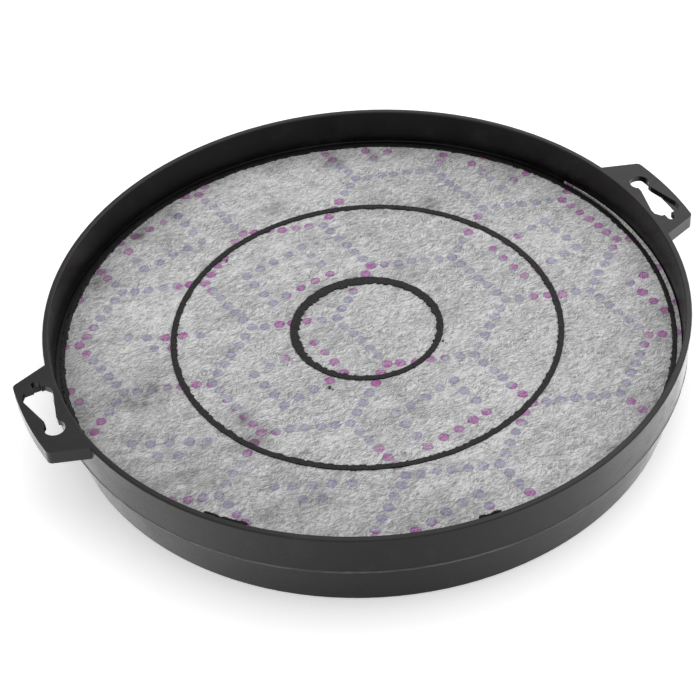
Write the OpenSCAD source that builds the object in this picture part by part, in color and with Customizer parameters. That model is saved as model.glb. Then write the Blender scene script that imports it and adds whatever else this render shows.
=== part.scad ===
// Round carbon filter for a cooker hood.
// A moulded dish holds loose carbon in three ring-shaped compartments.
// Fleece lies on the open grille below the carbon, and one sheet of fleece is
// welded over it. The melted crests of the dish's ribs come up through that sheet.
// Two lugs with keyholes hang the filter on headed pegs, with a short turn to lock.
// Origin: centre of the base. +Z points up out of the dish, +X through the lugs.

/* [Dish] */
// Outer diameter across the rim
rim_d = 240; // [225:1:280]
// Overall height from the base to the top of the rim
dish_h = 35; // [31:0.5:45]
// Height of the top face of the welded fleece above the base
fleece_z = 20; // [15:0.5:24]
// Thickness of the wall at the rim and at the base
wall_t = 2.4; // [1.8:0.1:3]
// How much the upper band narrows from the rim down to its lip
upper_draft = 0.5; // [0.1:0.1:0.8]
// Distance from the fleece's top face down to the lower edge of the lip
lip_drop = 1.3; // [1.1:0.1:2]
// How far the lower band is set in under the lip
step_in = 2.4; // [2:0.1:3]
// How much the lower band narrows down to the base
lower_draft = 2.1; // [1:0.1:2.6]
// Width of the ledge inside the wall that carries the edge of the fleece
ledge_w = 3.8; // [3:0.1:4.4]
// How much the wall thickens inwards where it runs down to the ledge
wall_root = 0.4; // [0.2:0.1:0.6]
// Width of the flat ring around the base that the filter lies on
foot_w = 6; // [4:0.5:9]
// Radius of the rounded edges of the rim
rim_edge_r = 0.6; // [0.2:0.1:0.8]
// Radius of the hollow corner under the lip
lip_fillet_r = 1.8; // [1:0.1:1.9]

/* [Grille] */
// Thickness of the grille's bars and rings
grille_t = 1.8; // [1.2:0.1:2.6]
// How far the foot rings stand below the grille
foot_h = 0.6; // [0.3:0.1:1.2]
// Width of each bar and ring
bar_w = 1.8; // [1.2:0.1:2.6]
// Diameter of the closed disc at the middle
hub_d = 14; // [8:0.5:20]
// Largest step from one ring to the next
ring_pitch = 16; // [12:0.5:24]
// Radial bars in the middle compartment, and so many more in each one outside it
zone_bars = 12; // [8:1:16]

/* [Ribs] */
// Diameter of the centre line of the inner rib
inner_rib_d = 55.4; // [44:0.2:70]
// How much wider the middle compartment is than the outer one
middle_extra = 4.5; // [0:0.5:10]
// Thickness of a rib under the fleece
rib_t = 1.6; // [1.2:0.1:1.9]
// Thickness of a rib where it meets the grille
rib_root_t = 2.4; // [2:0.1:3]
// Width of the foot ring below each rib
rib_foot_w = 3.6; // [3.2:0.1:5]
// Width of the weld bead on the inner rib
inner_bead_w = 2.2; // [2:0.1:4]
// Width of the weld bead on the outer rib
outer_bead_w = 2.2; // [2:0.1:3.4]
// Width of the weld bead on the ledge
ledge_bead_w = 1.9; // [1.4:0.1:2.4]
// Height of the weld beads above the fleece
bead_h = 0.3; // [0.2:0.1:0.6]

/* [Lugs] */
// How far a lug reaches out from the rim
lug_reach = 12.8; // [12:0.2:16]
// Width of a lug where it leaves the rim
lug_root_w = 46; // [44:0.5:60]
// Width of a lug between the sharp corners of its tip
lug_tip_w = 37; // [35:0.5:41]
// Rounding of the two corners at the tip
lug_corner_r = 2.2; // [1:0.1:4]
// Thickness of the plate on top
lug_t = 2.4; // [1.6:0.1:3.2]
// Depth of the skirt, plate included
lug_depth = 5.4; // [4:0.1:9]
// Thickness of the skirt around the three free sides
skirt_t = 1.9; // [1.2:0.1:2.2]

/* [Keyholes] */
// Distance from the rim out to the centre line of a keyhole
hole_inset = 5; // [4.8:0.1:6]
// Diameter of the round end that seats the peg
seat_d = 7.6; // [6:0.1:8.2]
// Distance of that round end from the middle of the lug
seat_offset = 8.5; // [7.5:0.1:9.5]
// Width of the neck that the peg snaps through
neck_w = 4.6; // [3.6:0.1:4.8]
// Distance of the neck from the middle of the lug
neck_offset = 3.6; // [2:0.1:4.2]
// Width of the mouth that lets the peg's head in
mouth_w = 11; // [9:0.1:12]
// Distance from the middle of the lug to the widest part of the mouth
mouth_offset = 8.8; // [7:0.1:10]
// Length of the widest part, before its corners are cut off
mouth_straight = 2.4; // [0.6:0.1:2.8]
// Width of the flat end of the mouth, between its cut corners
mouth_flat_w = 7.6; // [6:0.1:8.4]
// Distance from the middle of the lug to the flat end of the mouth
mouth_end = 13.6; // [13:0.1:14.4]
// Width of the small relief notch beyond the mouth
notch_w = 3; // [2.4:0.1:4]
// Distance from the middle of the lug to the end of the notch
notch_end = 17.4; // [16.4:0.1:17.6]
// How far the notch lies off the keyhole's centre line, towards the rim
notch_shift = 1.1; // [0:0.1:1.4]

/* [Fleece and carbon] */
// Thickness of the fleece, above and below the carbon
fleece_t = 0.8; // [0.5:0.1:0.9]
// Clearance around the loose fills and the fleece below them
fill_gap = 0.2; // [0.1:0.05:0.4]
// Angle spanned by the strip of fleece that was left outside the outer weld
strip_span = 46; // [20:1:90]
// Direction of the middle of that strip, from +X
strip_at = -21; // [-60:1:20]
// Clearance between that strip and the wall
strip_gap = 0.2; // [0.1:0.05:0.5]

/* [Hidden] */
$fn = 180;
eps = 0.01;
corner_steps = 6;
base_edge_r = 0.6;
// Overlap that joins a bar or a lug to the ring it runs into
root_overlap = 1;
// How far a cut runs past the faces that it opens
cut_past = 1;
// Least rounding left at a lug's tip corners when its outline is set in
min_corner_r = 0.4;

rim_r = rim_d / 2;
recess_r = rim_r - wall_t;
lip_r = rim_r - upper_draft;
lower_r = lip_r - step_in;
base_r = lower_r - lower_draft;
lip_z = fleece_z - lip_drop;
ledge_z = fleece_z - fleece_t;
floor_z = foot_h + grille_t;
bed_z = floor_z + fleece_t;
// The wall is a true cylinder from just above the weld beads up to the rim
recess_z = fleece_z + bead_h + 0.1;
shell_r = recess_r - ledge_w;
shell_floor_r = base_r - wall_t;
foot_in_r = base_r - foot_w;
inner_rib_r = inner_rib_d / 2;
outer_rib_r = (inner_rib_r + shell_r + middle_extra) / 2;
ledge_bead_r = shell_r + ledge_bead_w / 2;
strip_w = ledge_w - ledge_bead_w - wall_root - strip_gap;
lug_r = rim_r + lug_reach;
hole_x = rim_r + hole_inset;

// Points along an arc about [x, y], from angle a0 to angle a1.
function arc(x, y, r, a0, a1) =
    [for (i = [0 : corner_steps])
        let (a = a0 + (a1 - a0) * i / corner_steps)
        [x + r * cos(a), y + r * sin(a)]];

// Half the thickness of a rib at height z: it narrows from the grille to the fleece.
function rib_half(z) =
    (rib_root_t + (rib_t - rib_root_t) * (z - floor_z) / (ledge_z - floor_z)) / 2;

// Inner radius of the dish's lower wall at height z.
function shell_in(z) =
    shell_floor_r + (shell_r - shell_floor_r) * (z - floor_z) / (ledge_z - floor_z);

// Number of grille rings between two radii, so that no step is over ring_pitch.
function rings_between(r0, r1) = ceil((r1 - r0) / ring_pitch) - 1;

// The rounded top of a weld bead, from its outer side over to its inner side.
function bead_dome(r, w) = concat(
    arc(r + w / 2 - bead_h, fleece_z, bead_h, 0, 90),
    arc(r - w / 2 + bead_h, fleece_z, bead_h, 90, 180));

// Section of the wall: foot ring, drafted lower band, lip, rim, ledge and its weld bead.
module wall_section() {
    polygon(concat(
        [[foot_in_r, 0]],
        arc(base_r - base_edge_r, base_edge_r, base_edge_r, -90, 0),
        arc(lower_r + lip_fillet_r, lip_z - lip_fillet_r, lip_fillet_r, 180, 90),
        [[lip_r, lip_z]],
        arc(rim_r - rim_edge_r, dish_h - rim_edge_r, rim_edge_r, 0, 90),
        arc(recess_r + rim_edge_r, dish_h - rim_edge_r, rim_edge_r, 90, 180),
        [[recess_r, recess_z], [recess_r - wall_root, ledge_z]],
        [[shell_r + ledge_bead_w, ledge_z]],
        bead_dome(ledge_bead_r, ledge_bead_w),
        [[shell_r, ledge_z], [shell_floor_r, floor_z], [foot_in_r, floor_z]]));
}

// Section of a rib that stands on the grille at radius r and carries a bead of width w.
module rib_section(r, w) {
    polygon(concat(
        [[r - rib_foot_w / 2, 0], [r + rib_foot_w / 2, 0]],
        [[r + rib_foot_w / 2, floor_z], [r + rib_root_t / 2, floor_z]],
        [[r + rib_t / 2, ledge_z], [r + w / 2, ledge_z]],
        bead_dome(r, w),
        [[r - w / 2, ledge_z], [r - rib_t / 2, ledge_z]],
        [[r - rib_root_t / 2, floor_z], [r - rib_foot_w / 2, floor_z]]));
}

// A flat ring between two radii.
module ring_plan(r0, r1) {
    difference() {
        circle(r = r1);
        circle(r = r0);
    }
}

// One zone of the grille: radial bars from r0 to r1, and rings evenly spaced between.
module grille_zone(r0, r1, bars) {
    rings = rings_between(r0, r1);
    step = (r1 - r0) / (rings + 1);
    for (i = [1 : 1 : rings])
        ring_plan(r0 + i * step - bar_w / 2, r0 + i * step + bar_w / 2);
    for (i = [0 : bars - 1])
        rotate(360 * (i + 0.5) / bars)
            translate([r0 - root_overlap, -bar_w / 2])
                square([r1 - r0 + 2 * root_overlap, bar_w]);
}

// The whole grille, seen from below.
module grille_plan() {
    rib_foot = rib_foot_w / 2;
    circle(d = hub_d);
    grille_zone(hub_d / 2, inner_rib_r - rib_foot, zone_bars);
    grille_zone(inner_rib_r + rib_foot, outer_rib_r - rib_foot, 2 * zone_bars);
    grille_zone(outer_rib_r + rib_foot, foot_in_r, 3 * zone_bars);
}

// Direction of a lug's slanting end, from its root to its tip.
end_run = lug_r - rim_r;
end_rise = (lug_tip_w - lug_root_w) / 2;
end_len = sqrt(end_run * end_run + end_rise * end_rise);
end_dir = [end_run, end_rise] / end_len;
end_in = [end_rise, -end_run] / end_len;

// Centre of the rounding at a lug's tip, for an outline set in by "inset".
// It lies at distance r from the slanting end and touches the tip's arc from inside.
function tip_centre(inset, r) =
    let (p = [rim_r, lug_root_w / 2] + end_in * (inset + r),
         reach = lug_r - inset - r,
         b = p * end_dir,
         t = -b + sqrt(b * b - p * p + reach * reach))
    p + end_dir * t;

// Outline of a lug, set in by "inset" on its three free sides.
module lug_plan(inset) {
    r = max(lug_corner_r - inset, min_corner_r);
    c = tip_centre(inset, r);
    foot = c - end_in * r;
    root = foot - end_dir * (lug_reach + wall_t + root_overlap);
    far = c * 2;
    difference() {
        union() {
            polygon([root, foot, c, [c.x, -c.y], [foot.x, -foot.y], [root.x, -root.y]]);
            for (side = [1, -1])
                translate([c.x, side * c.y])
                    circle(r = r, $fn = 48);
            intersection() {
                circle(r = lug_r - inset);
                polygon([[c.x / 2, -c.y / 2], [far.x, -far.y], far, c / 2]);
            }
        }
        circle(r = rim_r - root_overlap);
    }
}

// A keyhole about its own centre line: round seat at +Y, mouth and notch at -Y.
module keyhole_plan() {
    translate([0, seat_offset])
        circle(d = seat_d, $fn = 96);
    polygon([
        [neck_w / 2, seat_offset], [neck_w / 2, neck_offset],
        [mouth_w / 2, -mouth_offset], [mouth_w / 2, -mouth_offset - mouth_straight],
        [mouth_flat_w / 2, -mouth_end], [-mouth_flat_w / 2, -mouth_end],
        [-mouth_w / 2, -mouth_offset - mouth_straight], [-mouth_w / 2, -mouth_offset],
        [-neck_w / 2, neck_offset], [-neck_w / 2, seat_offset]]);
    translate([-notch_shift, -notch_end + notch_w / 2])
        circle(d = notch_w, $fn = 48);
    translate([-notch_shift - notch_w / 2, -notch_end + notch_w / 2])
        square([notch_w, notch_end - mouth_end]);
}

// A lug: flat plate level with the rim, skirt around it, open underneath.
// The hollow ends level with the notch, so the skirt backs the notch.
module lug() {
    difference() {
        translate([0, 0, dish_h - lug_depth])
            linear_extrude(lug_depth)
                lug_plan(0);
        translate([0, 0, dish_h - lug_depth - eps])
            linear_extrude(lug_depth - lug_t + eps)
                intersection() {
                    lug_plan(skirt_t);
                    translate([0, -notch_end])
                        square([lug_r, notch_end + lug_root_w]);
                }
        translate([hole_x, 0, dish_h - lug_depth - cut_past])
            linear_extrude(lug_depth + 2 * cut_past)
                keyhole_plan();
    }
}

// A ring-shaped layer between two sloping sides.
module layer(in0, out0, z0, in1, out1, z1) {
    rotate_extrude()
        polygon([[in0, z0], [out0, z0], [out1, z1], [in1, z1]]);
}

// Fill between two heights, from a rib's outer side (or the axis) to the next rib or the wall.
module rib_side(r_in, r_out, z0, z1) {
    layer(r_in == 0 ? 0 : r_in + rib_half(z0) + fill_gap, r_out - rib_half(z0) - fill_gap, z0,
          r_in == 0 ? 0 : r_in + rib_half(z1) + fill_gap, r_out - rib_half(z1) - fill_gap, z1);
}

module wall_side(r_in, z0, z1) {
    layer(r_in + rib_half(z0) + fill_gap, shell_in(z0) - fill_gap, z0,
          r_in + rib_half(z1) + fill_gap, shell_in(z1) - fill_gap, z1);
}

module housing() {
    color("#2c2c2e") {
        rotate_extrude()
            wall_section();
        rotate_extrude()
            rib_section(inner_rib_r, inner_bead_w);
        rotate_extrude()
            rib_section(outer_rib_r, outer_bead_w);
        translate([0, 0, foot_h])
            linear_extrude(grille_t)
                grille_plan();
        for (turn = [0, 180])
            rotate(turn)
                lug();
    }
}

module back_fleece_centre() {
    color("#d2d2d0")
        rib_side(0, inner_rib_r, floor_z, bed_z);
}

module back_fleece_middle() {
    color("#d2d2d0")
        rib_side(inner_rib_r, outer_rib_r, floor_z, bed_z);
}

module back_fleece_outer() {
    color("#d2d2d0")
        wall_side(outer_rib_r, floor_z, bed_z);
}

module carbon_centre() {
    color("#1a1a1a")
        rib_side(0, inner_rib_r, bed_z, ledge_z);
}

module carbon_middle() {
    color("#1a1a1a")
        rib_side(inner_rib_r, outer_rib_r, bed_z, ledge_z);
}

module carbon_outer() {
    color("#1a1a1a")
        wall_side(outer_rib_r, bed_z, ledge_z);
}

// One printed sheet, which the weld beads divide into a disc, two rings and a loose strip.
module front_fleece() {
    color("#c6c6c8")
        translate([0, 0, ledge_z]) {
            linear_extrude(fleece_t) {
                circle(r = inner_rib_r - inner_bead_w / 2);
                ring_plan(inner_rib_r + inner_bead_w / 2, outer_rib_r - outer_bead_w / 2);
                ring_plan(outer_rib_r + outer_bead_w / 2, shell_r);
            }
            rotate(strip_at - strip_span / 2)
                rotate_extrude(angle = strip_span)
                    translate([shell_r + ledge_bead_w, 0])
                        square([strip_w, fleece_t]);
        }
}

housing();
back_fleece_centre();
back_fleece_middle();
back_fleece_outer();
carbon_centre();
carbon_middle();
carbon_outer();
front_fleece();
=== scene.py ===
# %% [markdown]
# # A carbon filter for a cooker hood
#
# The filter is a black moulded dish, filled with carbon grains. A sheet of pale fleece is
# laid over the grains and welded down: a hot tool melts the crests of the dish's ribs up
# through the fleece, and they set as three black rings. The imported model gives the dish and
# the sizes. This lesson gives it its finishes, and makes the soft and melted pieces that a
# CAD solid can't show: the printed fleece, its loose fibres, the ragged welds and the dust.

# %% The frame
import math

import bmesh
import bpy
import numpy as np
from mathutils import Matrix, Vector


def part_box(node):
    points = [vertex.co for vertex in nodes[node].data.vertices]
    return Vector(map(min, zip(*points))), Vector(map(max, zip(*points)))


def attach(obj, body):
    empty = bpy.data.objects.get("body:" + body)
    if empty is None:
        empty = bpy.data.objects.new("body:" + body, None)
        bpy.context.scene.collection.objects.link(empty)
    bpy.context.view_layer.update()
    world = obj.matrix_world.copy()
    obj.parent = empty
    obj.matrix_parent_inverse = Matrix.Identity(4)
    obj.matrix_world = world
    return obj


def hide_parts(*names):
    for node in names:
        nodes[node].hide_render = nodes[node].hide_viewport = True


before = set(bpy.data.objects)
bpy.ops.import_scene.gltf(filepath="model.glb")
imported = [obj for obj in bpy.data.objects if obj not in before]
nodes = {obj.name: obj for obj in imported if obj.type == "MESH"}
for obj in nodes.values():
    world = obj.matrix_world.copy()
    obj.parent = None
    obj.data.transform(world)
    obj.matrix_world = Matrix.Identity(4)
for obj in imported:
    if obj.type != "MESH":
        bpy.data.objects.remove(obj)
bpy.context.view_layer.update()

# %% [markdown]
# The camera comes first, because every choice of finish is judged through it. Its place was
# found by fitting circles to the rim and the base of the dish in the photograph. A long lens
# keeps the rims' ellipses nearly alike, as they are there.

# %% The camera
CAMERA_AT = Vector((-0.2090, -0.4748, 0.4864))
CAMERA_RIGHT = Vector((0.8981, -0.4363, -0.0551)).normalized()
CAMERA_AHEAD = Vector((0.2875, 0.6774, -0.6771)).normalized()
LENS_MM = 95.17

camera_up = CAMERA_RIGHT.cross(CAMERA_AHEAD).normalized()
camera_data = bpy.data.cameras.new("camera")
camera_data.lens = LENS_MM
camera_data.sensor_width = 36
camera_data.clip_start, camera_data.clip_end = 0.01, 20
camera = bpy.data.objects.new("camera", camera_data)
bpy.context.scene.collection.objects.link(camera)
turn = Matrix((CAMERA_RIGHT, camera_up, -CAMERA_AHEAD)).transposed()
camera.matrix_world = Matrix.Translation(CAMERA_AT) @ turn.to_4x4()
bpy.context.scene.camera = camera
bpy.context.scene.view_settings.view_transform = "Standard"
print("camera looks down at", round(math.degrees(math.asin(-CAMERA_AHEAD.z)), 1), "degrees")

# %% [markdown]
# Node materials are built from the same few moves again and again: add a node, set what is
# fixed, and link what comes from another node. One helper does all three. A second one makes
# a noise that can be turned and stretched, since most of what we see on cloth and on
# moulded plastic is some kind of noise with a direction.

# %% Helpers for node materials
def add_node(tree, kind, inputs=None, **settings):
    made = tree.nodes.new(kind)
    for name, value in settings.items():
        setattr(made, name, value)
    for name, value in (inputs or {}).items():
        if isinstance(value, bpy.types.NodeSocket):
            tree.links.new(value, made.inputs[name])
        else:
            made.inputs[name].default_value = value
    return made


def new_finish(name):
    finish = bpy.data.materials.new(name)
    finish.use_nodes = True
    tree = finish.node_tree
    place = add_node(tree, "ShaderNodeTexCoord").outputs["Object"]
    return finish, tree, tree.nodes["Principled BSDF"], place


def noise(tree, place, grain_mm, detail=2.0, stretch=1.0, angle=0.0, rough=0.5, shift=0.0):
    """Noise whose grain is grain_mm wide, and stretch times as long along the angle."""
    turned = add_node(tree, "ShaderNodeMapping", {
        "Vector": place, "Rotation": (0, 0, -math.radians(angle)),
        "Location": (shift, shift * 0.7, 0)}, vector_type="POINT")
    squeezed = add_node(tree, "ShaderNodeMapping", {
        "Vector": turned.outputs[0], "Scale": (1 / stretch, 1, 1)}, vector_type="POINT")
    made = add_node(tree, "ShaderNodeTexNoise", {
        "Vector": squeezed.outputs[0], "Scale": 1000 / grain_mm,
        "Detail": detail, "Roughness": rough})
    return made.outputs["Fac"]


def maths(tree, operation, first, second=0.0, third=0.0):
    made = tree.nodes.new("ShaderNodeMath")
    made.operation = operation
    for socket, value in zip(made.inputs, (first, second, third)):
        if isinstance(value, bpy.types.NodeSocket):
            tree.links.new(value, socket)
        else:
            socket.default_value = value
    return made.outputs[0]


def remap(tree, value, low, high, to_low=0.0, to_high=1.0):
    made = add_node(tree, "ShaderNodeMapRange", {
        "Value": value, "From Min": low, "From Max": high,
        "To Min": to_low, "To Max": to_high}, interpolation_type="SMOOTHSTEP")
    return made.outputs["Result"]


def blend(tree, amount, first, second, how="MIX"):
    made = tree.nodes.new("ShaderNodeMix")
    made.data_type = "RGBA"
    made.blend_type = how
    for name, value in (("Factor_Float", amount), ("A_Color", first), ("B_Color", second)):
        socket = next(s for s in made.inputs if s.identifier == name)
        if isinstance(value, bpy.types.NodeSocket):
            tree.links.new(value, socket)
        else:
            socket.default_value = value
    return next(s for s in made.outputs if s.identifier == "Result_Color")


def attribute(tree, name):
    return add_node(tree, "ShaderNodeAttribute", attribute_name=name).outputs["Fac"]


def srgb(red, green, blue):
    """The linear colour of an sRGB one that is written from 0 to 255."""
    def linear(v):
        v /= 255
        return v / 12.92 if v <= 0.04045 else ((v + 0.055) / 1.055) ** 2.4
    return (linear(red), linear(green), linear(blue), 1.0)


print("helpers ready")

# %% [markdown]
# The dish is moulded in black plastic with a satin skin. Such a skin is never one flat
# black. It has a fine grain, a slow change of gloss where the plastic flowed, faint rubs,
# and a thin film of dust from the carbon. Its brightness comes from what it mirrors, so the
# finish keeps a dark base and lets its roughness do the work.

# %% Moulded plastic
def moulded_plastic():
    finish, tree, shader, place = new_finish("satin black plastic")
    flow = noise(tree, place, 26, detail=3, stretch=2.5)
    grain = noise(tree, place, 0.55, detail=2)
    rubs = noise(tree, place, 1.1, detail=4, stretch=14, angle=20, rough=0.6)
    film = noise(tree, place, 9, detail=5, rough=0.65, shift=0.31)
    specks = noise(tree, place, 1.7, detail=1, shift=0.77)
    dust = remap(tree, film, 0.5, 0.78, 0.0, 0.55)
    colour = blend(tree, dust, (0.0040, 0.0037, 0.0037, 1), (0.0180, 0.0165, 0.0155, 1))
    speck = remap(tree, specks, 0.74, 0.78, 0.0, 0.8)
    colour = blend(tree, speck, colour, (0.002, 0.0018, 0.0016, 1))
    tree.links.new(colour, shader.inputs["Base Color"])
    gloss = maths(tree, "ADD", remap(tree, flow, 0.3, 0.7, 0.25, 0.36),
                  remap(tree, rubs, 0.45, 0.75, 0.0, 0.10))
    gloss = maths(tree, "ADD", gloss, maths(tree, "MULTIPLY", dust, 0.10))
    tree.links.new(gloss, shader.inputs["Roughness"])
    shader.inputs["Specular IOR Level"].default_value = 0.27
    shader.inputs["Specular Tint"].default_value = (1.0, 0.965, 0.96, 1)
    height = maths(tree, "ADD", maths(tree, "MULTIPLY", grain, 0.5), flow)
    bump = add_node(tree, "ShaderNodeBump", {
        "Height": height, "Strength": 0.18, "Distance": 0.0003})
    tree.links.new(bump.outputs["Normal"], shader.inputs["Normal"])
    return finish


plastic = moulded_plastic()
for slot in nodes["housing"].material_slots:
    slot.material = plastic
print("finish:", plastic.name)

# %% [markdown]
# Melted plastic is the same material after the welding tool. It has lost its satin skin: it
# is a little duller, it is lumpy at the scale of a millimetre, and fibres stick in it.

# %% Melted plastic
def melted_plastic():
    finish, tree, shader, place = new_finish("melted black plastic")
    lumps = noise(tree, place, 0.9, detail=3, rough=0.6)
    fibres = noise(tree, place, 0.25, detail=2, stretch=6, angle=15)
    ash = remap(tree, fibres, 0.62, 0.78, 0.0, 0.5)
    colour = blend(tree, ash, (0.0042, 0.0038, 0.0036, 1), (0.030, 0.028, 0.026, 1))
    tree.links.new(colour, shader.inputs["Base Color"])
    shader.inputs["Specular IOR Level"].default_value = 0.24
    tree.links.new(remap(tree, lumps, 0.3, 0.7, 0.42, 0.62), shader.inputs["Roughness"])
    bump = add_node(tree, "ShaderNodeBump", {
        "Height": lumps, "Strength": 0.7, "Distance": 0.0004})
    tree.links.new(bump.outputs["Normal"], shader.inputs["Normal"])
    return finish


melted = melted_plastic()
print("finish:", melted.name)

# %% [markdown]
# Carbon grains are crushed and dull, with a few glinting faces. They fill the three
# compartments, where only a slit of them could ever be seen, and a few lie on the fleece.

# %% Carbon
def carbon_grains():
    finish, tree, shader, place = new_finish("carbon grains")
    cells = add_node(tree, "ShaderNodeTexVoronoi", {"Vector": place, "Scale": 520.0})
    # Darker towards the edge of each cell: a painted shade in the gaps between the grains.
    shade = remap(tree, cells.outputs["Distance"], 0.0, 0.7)
    colour = blend(tree, shade, (0.022, 0.022, 0.023, 1), (0.004, 0.004, 0.004, 1))
    tree.links.new(colour, shader.inputs["Base Color"])
    facets = noise(tree, place, 1.2, detail=1)
    tree.links.new(remap(tree, facets, 0.4, 0.7, 0.75, 0.4), shader.inputs["Roughness"])
    bump = add_node(tree, "ShaderNodeBump", {
        "Height": cells.outputs["Distance"], "Strength": 0.8, "Distance": 0.0008},
        invert=True)
    tree.links.new(bump.outputs["Normal"], shader.inputs["Normal"])
    return finish


carbon = carbon_grains()
for name in ("carbon_centre", "carbon_middle", "carbon_outer"):
    for slot in nodes[name].material_slots:
        slot.material = carbon
print("finish:", carbon.name)

# %% [markdown]
# The fleece is a non-woven felt, about 0.8 mm thick. It is pale grey because the black
# grains show through it, in patches and specks. Its fibres mostly run one way, so it looks
# brushed. The print is rows of dots in a honeycomb, in a pale lilac ink that turned pink
# where the welding tool warmed it.
#
# The dots could be a node pattern, but a honeycomb of dots is long to write in nodes and
# short to write in Python. So the mesh carries four values at each point, and the nodes read
# them: the distance to the edge of the nearest dot, how strong that dot's ink is, how far
# inside the warmed band the point lies, and how dark the cloth is made there, by carbon dust
# and by painted shade near the wall.

# %% Fleece finish
FIBRE_ANGLE = 6.0
WAYS = ((0, 1.0, 0.0), (38, 0.75, 0.13), (-34, 0.65, 0.19))


def hairs(tree, place, spacing_mm, stretch, angle, width, shift):
    """Thin wandering lines: the places where a stretched noise crosses its middle."""
    wave = noise(tree, place, spacing_mm, detail=1, stretch=stretch, angle=angle, shift=shift)
    off = maths(tree, "ABSOLUTE", maths(tree, "SUBTRACT", wave, 0.5))
    return remap(tree, off, 0.0, width, 1.0, 0.0)


def three_ways(tree, make, join):
    """One pattern laid in the three directions of the fibres, joined into one value."""
    total = None
    for turned, share, shift in WAYS:
        part = maths(tree, "MULTIPLY", make(FIBRE_ANGLE + turned, shift), share)
        total = part if total is None else maths(tree, join, total, part)
    return total


def wander(tree, place, reach_mm, size_mm):
    """The same place, pushed aside by a slow noise, so that straight patterns bend."""
    pushed = add_node(tree, "ShaderNodeTexNoise", {
        "Vector": place, "Scale": 1000 / size_mm, "Detail": 1.0}).outputs["Color"]
    centred = add_node(tree, "ShaderNodeVectorMath", {0: pushed, 1: (0.5, 0.5, 0.5)},
                       operation="SUBTRACT")
    scaled = add_node(tree, "ShaderNodeVectorMath", {0: centred.outputs[0]}, operation="SCALE")
    scaled.inputs["Scale"].default_value = reach_mm * 0.001
    moved = add_node(tree, "ShaderNodeVectorMath", {0: place, 1: scaled.outputs[0]},
                     operation="ADD")
    return moved.outputs[0]


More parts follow.
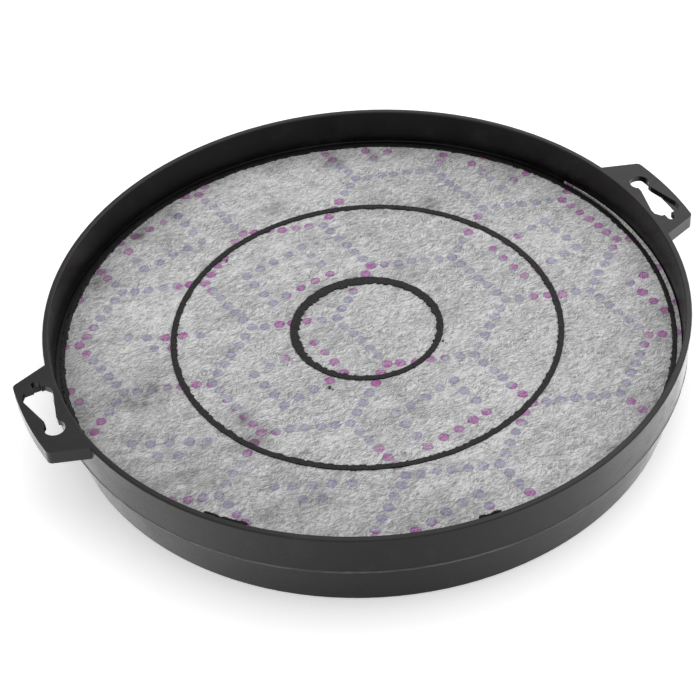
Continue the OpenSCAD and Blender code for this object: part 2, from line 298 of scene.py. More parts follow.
def fleece_finish(name, printed):
    finish, tree, shader, place = new_finish(name)
    bent = wander(tree, place, 5.0, 9.0)
    streaks = three_ways(tree, lambda angle, shift: noise(
        tree, bent, 0.42, detail=1, stretch=11, angle=angle, rough=0.6, shift=shift), "ADD")
    streaks = maths(tree, "DIVIDE", streaks, sum(share for _, share, _ in WAYS))
    pale = three_ways(tree, lambda angle, shift: hairs(
        tree, bent, 1.3, 9, angle + 6, 0.035, shift + 0.31), "MAXIMUM")
    gaps = three_ways(tree, lambda angle, shift: hairs(
        tree, bent, 1.6, 8, angle - 5, 0.030, shift + 0.67), "MAXIMUM")
    tufts = noise(tree, place, 1.5, detail=3, stretch=2.6, angle=FIBRE_ANGLE + 6,
                  rough=0.65, shift=0.41)
    grains = noise(tree, place, 1.1, detail=2, rough=0.7, shift=0.57)
    cloud = noise(tree, place, 8, detail=4, stretch=1.6, angle=FIBRE_ANGLE, rough=0.6)
    drift = noise(tree, place, 40, detail=2, shift=0.23)
    tone = maths(tree, "ADD", maths(tree, "MULTIPLY", streaks, 0.90),
                 maths(tree, "MULTIPLY", tufts, 0.10))
    tone = maths(tree, "ADD", tone, maths(tree, "MULTIPLY",
                 maths(tree, "SUBTRACT", cloud, 0.5), 0.24))
    tone = maths(tree, "ADD", tone, maths(tree, "MULTIPLY",
                 maths(tree, "SUBTRACT", drift, 0.5), 0.14))
    colour = blend(tree, remap(tree, tone, 0.38, 0.62), srgb(140, 140, 141),
                   srgb(219, 219, 219))
    colour = blend(tree, maths(tree, "MULTIPLY", pale, 0.42), colour, srgb(240, 240, 240))
    colour = blend(tree, maths(tree, "MULTIPLY", gaps, 0.42), colour, srgb(86, 86, 86))
    below = maths(tree, "MULTIPLY", remap(tree, grains, 0.60, 0.78),
                  remap(tree, cloud, 0.30, 0.55, 0.62, 0.16))
    colour = blend(tree, below, colour, srgb(74, 74, 73))
    clumps = noise(tree, bent, 3.0, detail=3, stretch=1.8, angle=FIBRE_ANGLE, rough=0.7,
                   shift=0.83)
    clumped = maths(tree, "MULTIPLY", remap(tree, clumps, 0.60, 0.72, 0.0, 0.48),
                    remap(tree, streaks, 0.40, 0.60, 1.0, 0.35))
    colour = blend(tree, clumped, colour, srgb(84, 84, 83))
    if printed:
        veil = remap(tree, streaks, 0.36, 0.64, 1.0, 0.62)
        soft = noise(tree, place, 0.6, detail=2, shift=0.9)
        edge = maths(tree, "ADD", attribute(tree, "dot_gap"),
                     maths(tree, "MULTIPLY", maths(tree, "SUBTRACT", soft, 0.5), 0.9))
        inside = remap(tree, edge, -0.30, 0.24, 1.0, 0.0)
        # rim is a ring just inside each dot's edge where the ink is darker: a painted shade for
        # the dot's raised edge.
        rim = maths(tree, "MULTIPLY", remap(tree, edge, -0.95, -0.35), inside)
        ink = maths(tree, "MULTIPLY", attribute(tree, "dot_ink"), veil)
        warmth = maths(tree, "ADD", attribute(tree, "warm_mm"),
                       maths(tree, "MULTIPLY", maths(tree, "SUBTRACT", soft, 0.5), 1.4))
        warmed = remap(tree, warmth, -0.6, 0.6)
        # The second colour of each ink is the painted shade on that ring.
        lilac = blend(tree, rim, srgb(134, 130, 163), srgb(110, 106, 142))
        pink = blend(tree, rim, srgb(160, 72, 154), srgb(130, 48, 124))
        ink_colour = blend(tree, warmed, lilac, pink)
        amount = maths(tree, "MULTIPLY", maths(tree, "MULTIPLY", inside, ink),
                       remap(tree, warmed, 0.0, 1.0, 0.74, 0.94))
        colour = blend(tree, amount, colour, ink_colour)
        # Carbon dust and painted shade by the wall, read from one attribute, darken the cloth.
        soil_and_shade = maths(tree, "MULTIPLY", attribute(tree, "soil_and_shade"),
                     remap(tree, tufts, 0.35, 0.62, 0.80, 1.65))
        colour = blend(tree, soil_and_shade, colour, srgb(70, 70, 70))
    tree.links.new(colour, shader.inputs["Base Color"])
    shader.inputs["Roughness"].default_value = 0.92
    shader.inputs["Specular IOR Level"].default_value = 0.25
    shader.inputs["Sheen Weight"].default_value = 0.12
    shader.inputs["Sheen Roughness"].default_value = 0.45
    height = maths(tree, "ADD", maths(tree, "MULTIPLY", streaks, 0.9),
                   maths(tree, "MULTIPLY", tufts, 0.4))
    if printed:
        height = maths(tree, "ADD", height, maths(tree, "MULTIPLY", inside, 0.25))
    bump = add_node(tree, "ShaderNodeBump", {
        "Height": height, "Strength": 0.14, "Distance": 0.0002})
    tree.links.new(bump.outputs["Normal"], shader.inputs["Normal"])
    return finish


printed_finish = fleece_finish("printed fleece", True)
plain_finish = fleece_finish("plain fleece", False)
print("finishes:", printed_finish.name, "and", plain_finish.name)

# %% [markdown]
# The welds divide the fleece. These are their radii, in millimetres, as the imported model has
# them, and the height of the fleece. The sheet runs in under each weld, so every free edge
# is hidden there.

# %% Sizes of the fleece and the welds
MM = 0.001
FLEECE_TOP = 20.0
FLEECE_LOW = 19.2
DISC_R = 27.4
MIDDLE_RING = (28.0, 72.7)
OUTER_RING = (73.3, 114.4)
STRIP_RING = (115.35, 117.1)
STRIP_FROM, STRIP_TO, STRIP_TAIL = math.radians(-44), math.radians(4), math.radians(20)
INNER_WELD = (26.6, 28.8)
OUTER_WELD = (71.9, 74.1)
LEDGE_WELD = (113.8, 115.7)
STEP = 1.0

# %% [markdown]
# Random relief has to come out the same in every run, so it is made here from a seeded table
# of numbers: a smooth noise in plain arithmetic. The relief of the cloth adds three sizes of
# it, for the grains below, for the tufts and for the slack of the sheet, and then pulls the
# cloth down towards each weld, with small puckers.

# %% Relief
TABLE = np.random.default_rng(71).random((64, 64, 8))


def smooth_noise(x, y, size, layer):
    u, v = x / size + 11.3 * layer, y / size + 5.7 * layer
    i, j = np.floor(u).astype(int), np.floor(v).astype(int)
    s, t = u - i, v - j
    s, t = s * s * (3 - 2 * s), t * t * (3 - 2 * t)
    grid = TABLE[:, :, layer]
    a, b = grid[i % 64, j % 64], grid[(i + 1) % 64, j % 64]
    c, d = grid[i % 64, (j + 1) % 64], grid[(i + 1) % 64, (j + 1) % 64]
    return (a * (1 - s) + b * s) * (1 - t) + (c * (1 - s) + d * s) * t - 0.5


def gap_to_welds(radius):
    """Distance to the nearest weld, for each point's distance from the centre."""
    gaps = [np.maximum(np.maximum(low - radius, radius - high), 0)
            for low, high in (INNER_WELD, OUTER_WELD, LEDGE_WELD)]
    return np.minimum.reduce(gaps)


def fleece_relief(x, y):
    radius, angle = np.hypot(x, y), np.arctan2(y, x)
    relief = (0.012 * smooth_noise(x, y, 1.5, 0) + 0.055 * smooth_noise(x, y, 3.1, 1)
              + 0.24 * smooth_noise(x, y, 9.0, 2) + 0.30 * smooth_noise(x, y, 27.0, 3))
    gap = gap_to_welds(radius)
    lie = np.clip(gap / 5.0, 0, 1)
    pucker = np.sin(angle * 46 + 9 * smooth_noise(x, y, 15.0, 4)) * 0.10
    relief = relief * (0.35 + 0.65 * lie) + pucker * np.exp(-gap / 3.0)
    return FLEECE_TOP + relief - 0.16 * np.exp(-gap / 1.3)


print("relief at the centre", round(float(fleece_relief(np.zeros(1), np.zeros(1))[0]), 2))

# %% [markdown]
# Each part of the sheet is a ring, so its mesh is a net of circles and spokes, about a
# millimetre apart: fine enough for the relief and for round dots. The shown side carries the
# relief, the hidden side is plain, and side faces close the shell, so the cloth has its real
# thickness.

# %% A shell of cloth
def shell(radii, angles, closed, shown, hidden, face_up=True):
    """Points and faces of a ring of cloth. shown gives the height of its visible side."""
    spokes = len(angles)
    reach = np.array(radii)
    cos, sin = np.cos(angles), np.sin(angles)
    x, y = np.outer(reach, cos), np.outer(reach, sin)
    points = [np.stack([x, y, shown(x, y)], axis=-1).reshape(-1, 3)]
    back = np.array([reach[0], reach[-1]])
    bx, by = np.outer(back, cos), np.outer(back, sin)
    points.append(np.stack([bx, by, np.full_like(bx, hidden)], axis=-1).reshape(-1, 3))
    last, low = (len(reach) - 1) * spokes, len(reach) * spokes
    faces = []
    steps = range(spokes) if closed else range(spokes - 1)
    for j in steps:
        n = (j + 1) % spokes
        for k in range(len(reach) - 1):
            a, b = k * spokes, (k + 1) * spokes
            faces.append((a + j, b + j, b + n, a + n))
        inner, outer = low, low + spokes
        faces.append((inner + n, outer + n, outer + j, inner + j))
        faces.append((last + j, outer + j, outer + n, last + n))
        faces.append((n, inner + n, inner + j, j))
    if not closed:
        for j, turn_round in ((0, False), (spokes - 1, True)):
            rim = [k * spokes + j for k in range(len(reach))]
            loop = rim + [low + spokes + j, low + j]
            faces.append(tuple(loop if turn_round else loop[::-1]))
    if not face_up:
        faces = [face[::-1] for face in faces]
    return np.concatenate(points), faces


def even_steps(low, high, step):
    return np.linspace(low, high, max(2, round((high - low) / step) + 1))


def whole_turn(radius, step):
    count = int(math.ceil(2 * math.pi * radius / step / 24) * 24)
    return np.linspace(0, 2 * math.pi, count, endpoint=False)


def piece_from(name, shells, finish):
    points, faces, base = [], [], 0
    for shell_points, shell_faces in shells:
        points.append(shell_points)
        faces += [tuple(i + base for i in face) for face in shell_faces]
        base += len(shell_points)
    mesh = bpy.data.meshes.new(name)
    mesh.from_pydata((np.concatenate(points) * MM).tolist(), [], faces)
    mesh.materials.append(finish)
    piece = bpy.data.objects.new(name, mesh)
    bpy.context.scene.collection.objects.link(piece)
    shaped = bmesh.new()
    shaped.from_mesh(mesh)
    bmesh.ops.remove_doubles(shaped, verts=shaped.verts, dist=1e-7)
    bmesh.ops.recalc_face_normals(shaped, faces=shaped.faces)
    shaped.to_mesh(mesh)
    shaped.free()
    mesh.shade_smooth()
    mesh.set_sharp_from_angle(angle=math.radians(55))
    print(name, len(mesh.vertices), "points,", len(mesh.polygons), "faces")
    return piece


# %% [markdown]
# The printed sheet has four parts: the disc, two rings, and a narrow strip of spare cloth
# that was left between the outer weld and the wall on one side.

# %% The printed fleece
def narrowed(points, faces):
    """The strip, drawn in towards the wall at its near end and along its thin tail."""
    radius, angle = np.hypot(points[:, 0], points[:, 1]), np.arctan2(points[:, 1], points[:, 0])
    width = np.interp(angle, (STRIP_FROM, STRIP_FROM + 0.10, STRIP_TO - 0.05, STRIP_TO + 0.06,
                              STRIP_TAIL), (0.15, 0.9, 1.0, 0.30, 0.10))
    width *= 0.94 + 0.05 * np.sin(angle * 61) + 0.04 * np.sin(angle * 173)
    drawn = STRIP_RING[1] - (STRIP_RING[1] - radius) * np.clip(width, 0.06, 1)
    points = points.copy()
    points[:, :2] *= (drawn / radius)[:, None]
    return points, faces


def printed_parts():
    parts = [shell(even_steps(0, DISC_R, STEP), whole_turn(DISC_R, STEP), True,
                   fleece_relief, FLEECE_LOW)]
    for low, high in (MIDDLE_RING, OUTER_RING):
        parts.append(shell(even_steps(low, high, STEP), whole_turn(high, STEP), True,
                           fleece_relief, FLEECE_LOW))
    spokes = np.linspace(STRIP_FROM, STRIP_TAIL, 140)
    parts.append(narrowed(*shell(even_steps(*STRIP_RING, 0.35), spokes, False,
                                 lambda x, y: fleece_relief(x, y) + 0.42, FLEECE_LOW)))
    return parts


printed_fleece = piece_from("printed_fleece", printed_parts(), printed_finish)

# %% [markdown]
# Now the print. A honeycomb is one cell repeated on a slanted grid, so two steps, one along
# and one up, place every cell. Each side of a cell has seven dots. Some cells hold a dotted
# rectangle and some a small wedge of dots; the rest are bare. All of it was measured in the
# photograph's own frame, which is turned from the part's frame by one angle.

# %% Where the dots are
PRINT_TURN = math.radians(-23)
CELL_ZERO = np.array((-28.98, 34.2))
CELL_ALONG = np.array((47.25, 30.78))
CELL_UP = np.array((-2.88, 56.7))
CELL_SIDE = 32.7
CELL_TILT = math.radians(3)
DOTS_PER_SIDE = 6
DOT_R = 2.05
BOX_LONG = np.array((5.62, 3.73))
BOX_SHORT = np.array((3.42, -5.81))
ROW_STEP = np.array((6.8, -0.3))
BOX_CELLS = {(0, 0), (0, -1), (2, -1), (1, -2), (-1, 1), (2, 0), (1, 1), (3, -2), (1, -3),
             (-2, 0), (-2, 1)}
WEDGE_CELLS = {(-1, 0), (-1, -1), (0, -2)}


def cell_dots(centre):
    turns = [CELL_TILT + math.radians(60 * k) for k in range(7)]
    corners = [centre + CELL_SIDE * np.array((math.cos(t), math.sin(t))) for t in turns]
    return [start + (end - start) * step / DOTS_PER_SIDE
            for start, end in zip(corners, corners[1:]) for step in range(DOTS_PER_SIDE)]


def box_dots(centre):
    return [centre + BOX_LONG * (i - 2) + BOX_SHORT * (j - 1.5)
            for i in range(5) for j in range(4) if i in (0, 4) or j in (0, 3)]


def wedge_dots(centre):
    lower = np.array((0, -6.4))
    row = [centre + ROW_STEP * (i - 2) for i in range(5)]
    return row + [centre + lower + ROW_STEP * side for side in (-0.55, 0.45)]


def all_dots():
    found = []
    for i in range(-4, 6):
        for j in range(-6, 6):
            centre = CELL_ZERO + i * CELL_ALONG + j * CELL_UP
            dots = cell_dots(centre)
            if (i, j) in BOX_CELLS:
                dots += box_dots(centre)
            if (i, j) in WEDGE_CELLS:
                dots += wedge_dots(centre)
            found += [d for d in dots if np.hypot(*d) < 121]
    kept = []
    for dot in found:
        if all(np.hypot(*(dot - other)) > 2.4 for other in kept):
            kept.append(dot)
    cos, sin = math.cos(PRINT_TURN), math.sin(PRINT_TURN)
    return np.array(kept) @ np.array(((cos, sin), (-sin, cos)))


dots = all_dots()
print(len(dots), "dots")

# %% [markdown]
# Each dot is a little off its place and a little stronger or weaker than the next, as a
# roller print on soft cloth is. The hot tool warmed a ring of cloth on both sides of each
# weld, and it stood about two millimetres off centre, so the pink bands do as well. The
# small soiled patches are where carbon dust was worked into the cloth. The wide patches at
# the end of the table, along the left and front edge, and a band along the wall on the
# back-left side are painted shade from the dish's wall.

# %% Print, soiling and painted shade on the sheet
WARM_RINGS = ((20.4, 35.0), (64.3, 78.3), (104.2, 120.0))
WARM_SHIFT = (0.33, 1.87)
# The small patches are carbon dust. The last four, wide and by the wall on the left and the
# front, are painted shade.
SOIL_AND_SHADE = ((-8, 26, 6, 0.38), (26, 21, 6, 0.34), (6, 27, 5, 0.32), (-60, -36, 7, 0.46),
        (-78, 75, 8, 0.34), (56, 54, 5, 0.48), (-54, 94, 6, 0.34), (34, 101, 5, 0.34),
        (49, 95, 5, 0.28), (-60, -22, 6, 0.36), (92, 56, 5, 0.30), (-2, 82, 5, 0.50),
        (-40, 100, 5, 0.28), (-85, 7, 9, 0.32), (-18, 20, 4, 0.28), (62, 88, 5, 0.24),
        (-98, 10, 24, 0.18), (-92, -38, 22, 0.24), (-66, -76, 20, 0.22), (-20, -100, 18, 0.14))
SHADED_SIDE = math.radians(140)


def warm_at(x, y):
    """Millimetres inside the nearest warmed ring; below zero outside it."""
    radius = np.hypot(x - WARM_SHIFT[0], y - WARM_SHIFT[1])
    return np.maximum.reduce([np.minimum(radius - low, high - radius)
                              for low, high in WARM_RINGS])


def soil_and_shade_at(x, y):
    total = np.zeros_like(x)
    for cx, cy, size, depth in SOIL_AND_SHADE:
        shape = np.exp(-((x - cx) ** 2 + (y - cy) ** 2) / (0.8 * size ** 2))
        total += depth * shape * np.clip(0.95 + 1.4 * smooth_noise(x, y, 4.0, 5), 0.6, 1.6)
    # A painted shade: a band along the wall, darkest on the back-left side.
    wall_shade = np.clip((np.hypot(x, y) - 102) / 11, 0, 1) ** 2
    away = np.clip(0.4 + np.cos(np.arctan2(y, x) - SHADED_SIDE), 0, 1)
    return np.clip(total + 0.20 * wall_shade * away, 0, 0.75)


def write_values(piece):
    mesh = piece.data
    points = np.empty(len(mesh.vertices) * 3)
    mesh.vertices.foreach_get("co", points)
    points = points.reshape(-1, 3) / MM
    x, y = points[:, 0], points[:, 1]
    chance = np.random.default_rng(18)
    placed = dots + chance.normal(0, 0.16, dots.shape)
    strength = np.clip(chance.normal(0.92, 0.10, len(dots)), 0.6, 1.0)
    size = DOT_R + chance.normal(0, 0.08, len(dots))
    gap, ink = np.empty(len(x)), np.empty(len(x))
    for start in range(0, len(x), 4000):
        part = slice(start, start + 4000)
        far = np.hypot(x[part, None] - placed[:, 0], y[part, None] - placed[:, 1]) - size
        nearest = far.argmin(axis=1)
        gap[part] = far[np.arange(len(nearest)), nearest]
        ink[part] = strength[nearest]
    values = {"dot_gap": np.clip(gap, -3, 3), "dot_ink": ink,
              "warm_mm": warm_at(x, y), "soil_and_shade": soil_and_shade_at(x, y)}
    for name, value in values.items():
        layer = mesh.attributes.new(name, "FLOAT", "POINT")
        layer.data.foreach_set("value", value.astype(np.float32))
        print(name, "from", round(float(value.min()), 2), "to", round(float(value.max()), 2))


write_values(printed_fleece)

# %% [markdown]
# Loose fibres stand out of the felt and catch the light. Each is a thin three-sided strand,
# bent a little, that lies just above the cloth. They are made in mesh code, as a cloth is,
# and they stay off the welds.

# %% Loose fibres
STRANDS = 1300


def strand(chance):
    radius, turn_to = 116 * math.sqrt(chance.random()), chance.random() * 2 * math.pi
    heading = math.radians(FIBRE_ANGLE + chance.normal(0, 30))
    bend = chance.normal(0, 0.09)
    length = chance.uniform(4, 13)
    width = chance.uniform(0.06, 0.12)
    lift = chance.uniform(0.03, 0.16)
    x, y = radius * math.cos(turn_to), radius * math.sin(turn_to)
    line = []
    for _ in range(7):
        line.append((x, y))
        x, y = x + math.cos(heading) * length / 6, y + math.sin(heading) * length / 6
        heading += bend * length / 6
    line = np.array(line)
    if gap_to_welds(np.hypot(line[:, 0], line[:, 1])).min() < 0.6:
        return None
    if np.hypot(line[:, 0], line[:, 1]).max() > LEDGE_WELD[0]:
        return None
    ahead = np.gradient(line, axis=0)
    side = np.stack([-ahead[:, 1], ahead[:, 0]], axis=1)
    side /= np.linalg.norm(side, axis=1)[:, None]
    arch = np.sin(np.linspace(0, math.pi, 7))
    thick = width * (0.35 + 0.65 * arch)[:, None]
    height = fleece_relief(line[:, 0], line[:, 1]) + lift * arch
    points = []
    for across, up in ((-0.5, 0.0), (0.5, 0.0), (0.0, 0.8)):
        flat = line + side * thick * across
        points.append(np.column_stack([flat, height + thick[:, 0] * up]))
    points = np.concatenate(points)
    faces = [(2 * 7, 7, 0), (6, 13, 20)]
    for k in range(6):
        for a, b in ((0, 7), (7, 14), (14, 0)):
            faces.append((a + k, b + k, b + k + 1, a + k + 1))
    return points, faces


def loose_fibres():
    chance = np.random.default_rng(5)
    made = []
    while len(made) < STRANDS:
        one = strand(chance)
        if one is not None:
            made.append(one)
    return made


def fibre_finish():
    finish, tree, shader, place = new_finish("loose fibres")
    tint = noise(tree, place, 5, detail=1)
    colour = blend(tree, remap(tree, tint, 0.35, 0.65), srgb(186, 187, 184),
                   srgb(226, 226, 222))
    tree.links.new(colour, shader.inputs["Base Color"])
    shader.inputs["Roughness"].default_value = 0.7
    shader.inputs["Sheen Weight"].default_value = 0.2
    return finish


fibres = piece_from("loose_fibres", loose_fibres(), fibre_finish())

# %% [markdown]
# The plain fleece under the grains shows between the bars of the grille. The grains press
# it down into the openings, so its lower side is softly uneven.

# %% The back fleece
GRILLE_TOP = 2.4
BACK_FLEECE_T = 0.8
BACK_RINGS = {"back_fleece_centre": (0.0, 26.5), "back_fleece_middle": (28.9, 71.8),
              "back_fleece_outer": (74.2, 112.4)}


def back_relief(x, y):
    bulge = (0.5 + 0.9 * smooth_noise(x, y, 8.0, 6) + 0.5 * smooth_noise(x, y, 2.6, 7))
    return GRILLE_TOP - 0.30 * np.clip(bulge, 0, 1)


def back_parts():
    for name, (low, high) in BACK_RINGS.items():
        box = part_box(name)
        high = min(high, box[1][0] / MM - 0.05)
        yield shell(even_steps(low, high, 1.6), whole_turn(high, 2.0), True, back_relief,
                    GRILLE_TOP + BACK_FLEECE_T, face_up=False)


back_fleece = piece_from("back_fleece", list(back_parts()), plain_finish)

# %% [markdown]
# A weld is a crest of the dish's rib, melted flat. It has spread more on one side than on
# the other, and its edges are ragged where the fibres tore. A circle gives the outer edge.
# It is extruded and drawn in for the inner edge, which is then moved off centre, extruded up
# to a thickness, rounded, and roughened by moving its points at random by a fixed seed.

# %% Helpers for modelling by hand
def start_fresh():
    if bpy.context.object and bpy.context.object.mode != "OBJECT":
        bpy.ops.object.mode_set(mode="OBJECT")
    bpy.ops.object.select_all(action="DESELECT")


def select_where(piece, test):
    """Selects the points of the edited piece for which the test holds."""
    edited = bmesh.from_edit_mesh(piece.data)
    for face in edited.faces:
        face.select = False
    for edge in edited.edges:
        edge.select = False
    for point in edited.verts:
        point.select = bool(test(point.co))
    edited.select_flush_mode()
    bmesh.update_edit_mesh(piece.data)
    return sum(v.select for v in edited.verts)


def finish_modifiers(piece):
    for modifier in list(piece.modifiers):
        bpy.ops.object.modifier_apply(modifier=modifier.name)


print("modelling helpers ready")

# %% The welds
def weld(name, inner, outer, shift, low, high, points, seed, ragged):
    start_fresh()
    bpy.ops.mesh.primitive_circle_add(vertices=points, radius=outer * MM,
                                      fill_type="NOTHING", location=(0, 0, low * MM))
    bpy.ops.object.transform_apply(location=True, rotation=True, scale=True)
    piece = bpy.context.object
    piece.name = piece.data.name = name
    bpy.ops.object.mode_set(mode="EDIT")
    bpy.ops.mesh.select_all(action="SELECT")
    bpy.ops.mesh.extrude_edges_move()
    bpy.ops.transform.resize(value=(inner / outer, inner / outer, 1),
                             center_override=(0, 0, low * MM))
    bpy.ops.transform.translate(value=(shift[0] * MM, shift[1] * MM, 0))
    bpy.ops.transform.vertex_random(offset=ragged * MM, uniform=1.0, normal=0.0, seed=seed)
    bpy.ops.mesh.select_all(action="SELECT")
    bpy.ops.transform.vertex_random(offset=0.3 * ragged * MM, uniform=1.0, normal=0.0,
                                    seed=seed + 20)
    bpy.ops.transform.resize(value=(1, 1, 0), center_override=(0, 0, low * MM))
    bpy.ops.mesh.subdivide(number_cuts=2, smoothness=0)
    bpy.ops.mesh.select_all(action="SELECT")
    bpy.ops.mesh.normals_make_consistent(inside=False)
    bpy.ops.mesh.extrude_region_move(
        TRANSFORM_OT_translate={"value": (0, 0, (high - low) * MM)})
    bpy.ops.mesh.select_all(action="SELECT")
    bpy.ops.mesh.normals_make_consistent(inside=False)
    bpy.ops.transform.vertex_random(offset=0.09 * MM, uniform=1.0, normal=0.0, seed=seed + 40)
    bpy.ops.object.mode_set(mode="OBJECT")
    rounded = piece.modifiers.new("round", "BEVEL")
    rounded.width = 0.10 * MM
    rounded.segments = 1
    rounded.limit_method = "ANGLE"
    rounded.angle_limit = math.radians(50)
    finish_modifiers(piece)
    piece.data.materials.clear()
    piece.data.materials.append(melted)
    bpy.ops.object.shade_smooth_by_angle(angle=math.radians(40))
    print(name, len(piece.data.polygons), "faces")
    return piece


inner_weld = weld("inner_weld", 26.05, 28.95, (0.05, -1.05), 19.9, 20.42, 190, 3, 0.62)
outer_weld = weld("outer_weld", 71.85, 74.05, (-0.05, -0.12), 19.9, 20.38, 430, 4, 0.44)
ledge_weld = weld("ledge_weld", 113.75, 115.55, (0, 0), 19.9, 20.36, 700, 5, 0.46)

# %% [markdown]
# Two small marks of the moulding are worth their few faces. The lip has a thin raised line
# where the two halves of the mould met, and it catches the light. A torus is that shape at
# once. Its colour is lighter than the dish's plastic: a painted highlight along the line.
# And the inner edge of the rim is chipped and burred in two places. Each burr is a ball,
# stretched along the rim and roughened.

# %% Marks of the moulding
LIP_R, LIP_Z = 119.14, 18.95
BURR_RUNS = ((-142.4, -136.3, 7), (-97.0, -94.6, 3))


def burr_places():
    """Azimuth, radius, length, depth and height of each burr, in overlapping runs."""
    chance = np.random.default_rng(12)
    for start, end, count in BURR_RUNS:
        for azimuth in np.linspace(start, end, count):
            yield (azimuth, 117.25 + chance.uniform(-0.30, 0.15), chance.uniform(2.4, 4.0),
                   chance.uniform(0.7, 1.5), chance.uniform(0.4, 0.8))


def lip_highlight_plastic():
    finish, tree, shader, place = new_finish("plastic with painted highlight")
    highlight_patches = noise(tree, place, 14, detail=4, rough=0.6)
    # Lighter than the dish's plastic, in long patches: a painted highlight along the lip.
    colour = blend(tree, remap(tree, highlight_patches, 0.35, 0.65), (0.012, 0.0113, 0.0107, 1),
                   (0.060, 0.056, 0.051, 1))
    tree.links.new(colour, shader.inputs["Base Color"])
    shader.inputs["Roughness"].default_value = 0.38
    return finish


def lip_line():
    start_fresh()
    bpy.ops.mesh.primitive_torus_add(
        major_radius=LIP_R * MM, minor_radius=0.55 * MM, major_segments=420,
        minor_segments=8, location=(0, 0, LIP_Z * MM))
    bpy.ops.object.transform_apply(location=True, rotation=True, scale=True)
    line = bpy.context.object
    line.name = line.data.name = "lip_line"
    line.data.materials.append(lip_highlight_plastic())
    bpy.ops.object.mode_set(mode="EDIT")
    bpy.ops.mesh.select_all(action="SELECT")
    bpy.ops.transform.vertex_random(offset=0.07 * MM, uniform=1.0, normal=0.0, seed=73)
    bpy.ops.object.mode_set(mode="OBJECT")
    bpy.ops.object.shade_smooth()
    print("lip_line", len(line.data.polygons), "faces")
    return line


def rim_burrs():
    made = []
    for number, (azimuth, radius, length, depth, height) in enumerate(burr_places()):
        way = math.radians(azimuth)
        start_fresh()
        bpy.ops.mesh.primitive_ico_sphere_add(
            subdivisions=3, radius=0.5 * MM, rotation=(0, 0, way),
            location=(radius * math.cos(way) * MM, radius * math.sin(way) * MM, 34.5 * MM),
            scale=(depth, length, height))
        bpy.ops.object.transform_apply(location=True, rotation=True, scale=True)
        burr = bpy.context.object
        burr.data.materials.append(melted)
        bpy.ops.object.mode_set(mode="EDIT")
        bpy.ops.mesh.select_all(action="SELECT")
        bpy.ops.transform.vertex_random(offset=0.22 * MM, uniform=1.0, seed=60 + number)
        bpy.ops.object.mode_set(mode="OBJECT")
        made.append(burr)
    start_fresh()
    for burr in made:
        burr.select_set(True)
    bpy.context.view_layer.objects.active = made[0]
    bpy.ops.object.join()
    burrs = bpy.context.object
    burrs.name = burrs.data.name = "rim_burrs"
    print("rim_burrs", len(burrs.data.polygons), "faces")
    return burrs


line = lip_line()
burrs = rim_burrs()

# %% [markdown]
# A few grains and crumbs of carbon have come through the cloth. One rough grain is modelled
# from a ball whose points are moved at random, and it is copied to each place, turned and
# sized, each copy with its own mesh.

# %% Carbon crumbs
CRUMBS = ((-15.3, -31.5, 1.5), (-14.2, -32.4, 0.7), (27.9, -10.8, 1.2), (28.9, -12.0, 0.6),
          (-52.7, 45.5, 1.1), (-53.2, 44.6, 0.6), (-33.4, -11.5, 0.6), (-30.4, -17.7, 0.5))
TINY_CRUMBS = 90


def crumb_places():
    chance = np.random.default_rng(29)
    cos, sin = math.cos(PRINT_TURN), math.sin(PRINT_TURN)
    places = [(x * cos - y * sin, x * sin + y * cos, size) for x, y, size in CRUMBS]
    while len(places) < len(CRUMBS) + TINY_CRUMBS:
        radius, angle = 113 * math.sqrt(chance.random()), chance.random() * 2 * math.pi
        if gap_to_welds(np.array([radius]))[0] > 0.5:
            places.append((radius * math.cos(angle), radius * math.sin(angle),
                           float(chance.uniform(0.18, 0.42))))
    return places


def carbon_crumbs():
    chance = np.random.default_rng(31)
    copies = []
    start_fresh()
    bpy.ops.mesh.primitive_ico_sphere_add(subdivisions=1, radius=0.5 * MM)
    grain = bpy.context.object
    grain.name = grain.data.name = "carbon_crumbs"
    bpy.ops.object.mode_set(mode="EDIT")
    bpy.ops.mesh.select_all(action="SELECT")
    bpy.ops.mesh.subdivide(number_cuts=1, smoothness=0)
    bpy.ops.transform.vertex_random(offset=0.16 * MM, uniform=1.0, normal=0.3, seed=8)
    bpy.ops.object.mode_set(mode="OBJECT")
    grain.data.materials.append(carbon)
    for x, y, size in crumb_places():
        copy = grain.copy()
        copy.data = grain.data.copy()
        bpy.context.scene.collection.objects.link(copy)
        z = float(fleece_relief(np.array([x]), np.array([y]))[0])
        copy.location = (x * MM, y * MM, (z + 0.2 * size) * MM)
        copy.rotation_euler = chance.uniform(0, 6.28, 3)
        copy.scale = size * np.array((1.0, chance.uniform(0.6, 1.0), chance.uniform(0.5, 0.8)))
        copies.append(copy)
    bpy.data.objects.remove(grain)
    start_fresh()
    for copy in copies:
        copy.select_set(True)
    bpy.context.view_layer.objects.active = copies[0]
    bpy.ops.object.transform_apply(location=True, rotation=True, scale=True)
    bpy.ops.object.join()
    crumbs = bpy.context.object
    crumbs.name = "carbon_crumbs"
    print(crumbs.name, len(crumbs.data.polygons), "faces")
    return crumbs


crumbs = carbon_crumbs()

# %% [markdown]
# Last, each piece is tied to the part, so that it rides on the one body, and the CAD solids
# of the fleece, which the made sheets replace, are hidden.

# %% Ties to the part
for piece, slot in ((printed_fleece, "printed_fleece"), (fibres, "printed_fleece"),
                    (back_fleece, "plain_fleece"), (inner_weld, "housing_plastic"),
                    (outer_weld, "housing_plastic"), (ledge_weld, "housing_plastic"),
                    (line, "housing_plastic"), (burrs, "housing_plastic"),
                    (crumbs, "carbon_granules")):
    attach(piece, "root")
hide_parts("front_fleece")
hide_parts(*BACK_RINGS)

print("pieces tied")

# %% [markdown]
# The studio: a pale floor, a soft wide light from high on the right, a little behind the
# dish, and a bright surround that is dimmer overhead. In reflections only, the surround is
# brighter towards the front and high at the back right, and the floor glows, more to the
# sides than ahead: a painted reflection that the wall of the dish mirrors. For the camera
# the floor is lifted evenly to white.

# %% Floor
FLOOR_LIFT = 0.36
FLOOR_MIRRORED = 0.25
SIDES_MIRRORED = 1.2
FRONT = (-0.37, -0.929)


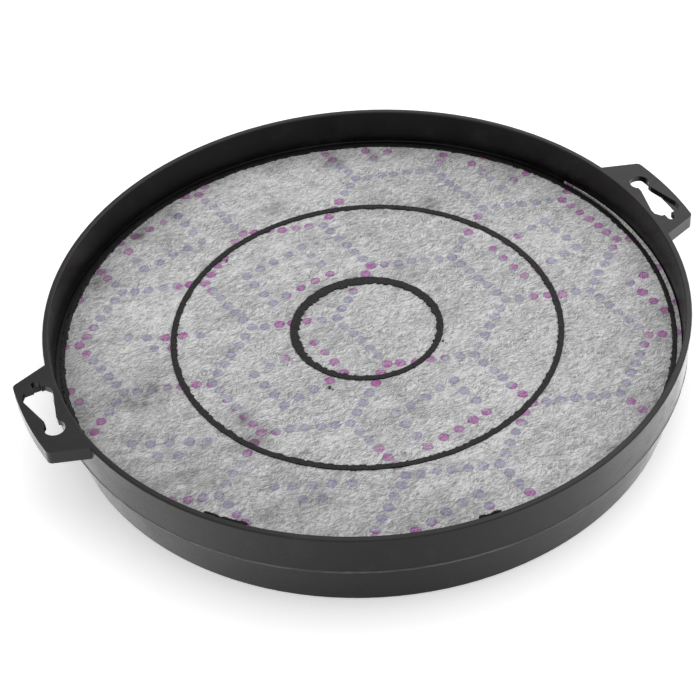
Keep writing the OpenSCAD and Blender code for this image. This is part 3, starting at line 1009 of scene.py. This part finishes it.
def floor_finish():
    finish, tree, shader, place = new_finish("floor")
    shader.inputs["Base Color"].default_value = (0.96, 0.96, 0.96, 1)
    shader.inputs["Roughness"].default_value = 0.9
    shader.inputs["Specular IOR Level"].default_value = 0.0
    ray = add_node(tree, "ShaderNodeLightPath")
    level = add_node(tree, "ShaderNodeVectorMath", {0: place, 1: (1, 1, 0)},
                     operation="MULTIPLY")
    way = add_node(tree, "ShaderNodeVectorMath", {0: level.outputs[0]}, operation="NORMALIZE")
    ahead = add_node(tree, "ShaderNodeVectorMath", {0: way.outputs[0], 1: (*FRONT, 0)},
                     operation="DOT_PRODUCT").outputs["Value"]
    # aside grows towards the sides. The floor's glow in reflections is a painted reflection on
    # the dish's walls; for the camera the floor is lifted evenly to white.
    aside = maths(tree, "SUBTRACT", 1.0, maths(tree, "MULTIPLY", ahead, ahead))
    mirrored = maths(tree, "ADD", FLOOR_MIRRORED, maths(tree, "MULTIPLY", aside, SIDES_MIRRORED))
    glow = maths(tree, "ADD",
                 maths(tree, "MULTIPLY", ray.outputs["Is Camera Ray"], FLOOR_LIFT),
                 maths(tree, "MULTIPLY", ray.outputs["Is Glossy Ray"], mirrored))
    lift = add_node(tree, "ShaderNodeEmission", {"Strength": glow})
    shown = add_node(tree, "ShaderNodeAddShader")
    tree.links.new(shader.outputs[0], shown.inputs[0])
    tree.links.new(lift.outputs[0], shown.inputs[1])
    output = next(n for n in tree.nodes if n.type == "OUTPUT_MATERIAL")
    tree.links.new(shown.outputs[0], output.inputs["Surface"])
    return finish


start_fresh()
bpy.ops.mesh.primitive_plane_add(size=12, location=(0, 0, -0.0003))
floor = bpy.context.object
floor.name = "floor"
floor.data.materials.append(floor_finish())
print("floor laid")

# %% Light
SUN_FROM = Vector((0.42, 0.12, 0.90))
SUN_STRENGTH = 0.95
SUN_SPREAD = 70
OVERHEAD = 0.70


def studio_light():
    data = bpy.data.lights.new("soft light", "SUN")
    data.energy = SUN_STRENGTH
    data.angle = math.radians(SUN_SPREAD)
    light = bpy.data.objects.new("soft_light", data)
    light.rotation_mode = "QUATERNION"
    light.rotation_quaternion = SUN_FROM.to_track_quat("Z", "Y")
    bpy.context.scene.collection.objects.link(light)
    return light


def surround():
    world = bpy.context.scene.world or bpy.data.worlds.new("world")
    bpy.context.scene.world = world
    world.use_nodes = True
    tree = world.node_tree
    tree.nodes.clear()
    way = add_node(tree, "ShaderNodeTexCoord").outputs["Generated"]
    parts = add_node(tree, "ShaderNodeSeparateXYZ", {"Vector": way}).outputs
    glow = remap(tree, parts["Z"], 0.15, 0.5, 1.0, OVERHEAD)
    ray = add_node(tree, "ShaderNodeLightPath")
    box = maths(tree, "MULTIPLY", remap(tree, parts["X"], 0.05, 0.55, 0.15, 1.15),
                remap(tree, parts["Z"], 0.3, 0.5))
    box = maths(tree, "MULTIPLY", box, remap(tree, parts["Y"], 0.2, 0.5))
    box = maths(tree, "ADD", box, remap(tree, parts["Y"], -0.1, 0.4, 0.6, 0.0))
    glow = maths(tree, "ADD", glow, maths(tree, "MULTIPLY", box, ray.outputs["Is Glossy Ray"]))
    clear = maths(tree, "MAXIMUM", ray.outputs["Is Camera Ray"],
                  ray.outputs["Is Transmission Ray"])
    seen = blend(tree, clear, glow, (1, 1, 1, 1))
    back = add_node(tree, "ShaderNodeBackground", {"Strength": seen})
    back.inputs["Color"].default_value = (1, 1, 1, 1)
    out = tree.nodes.new("ShaderNodeOutputWorld")
    tree.links.new(back.outputs[0], out.inputs["Surface"])


studio_light()
surround()
print("light from", tuple(round(v, 2) for v in SUN_FROM))

# %% [markdown]
# At the end, nothing is left in edit mode or selected.

# %% Finish
start_fresh()
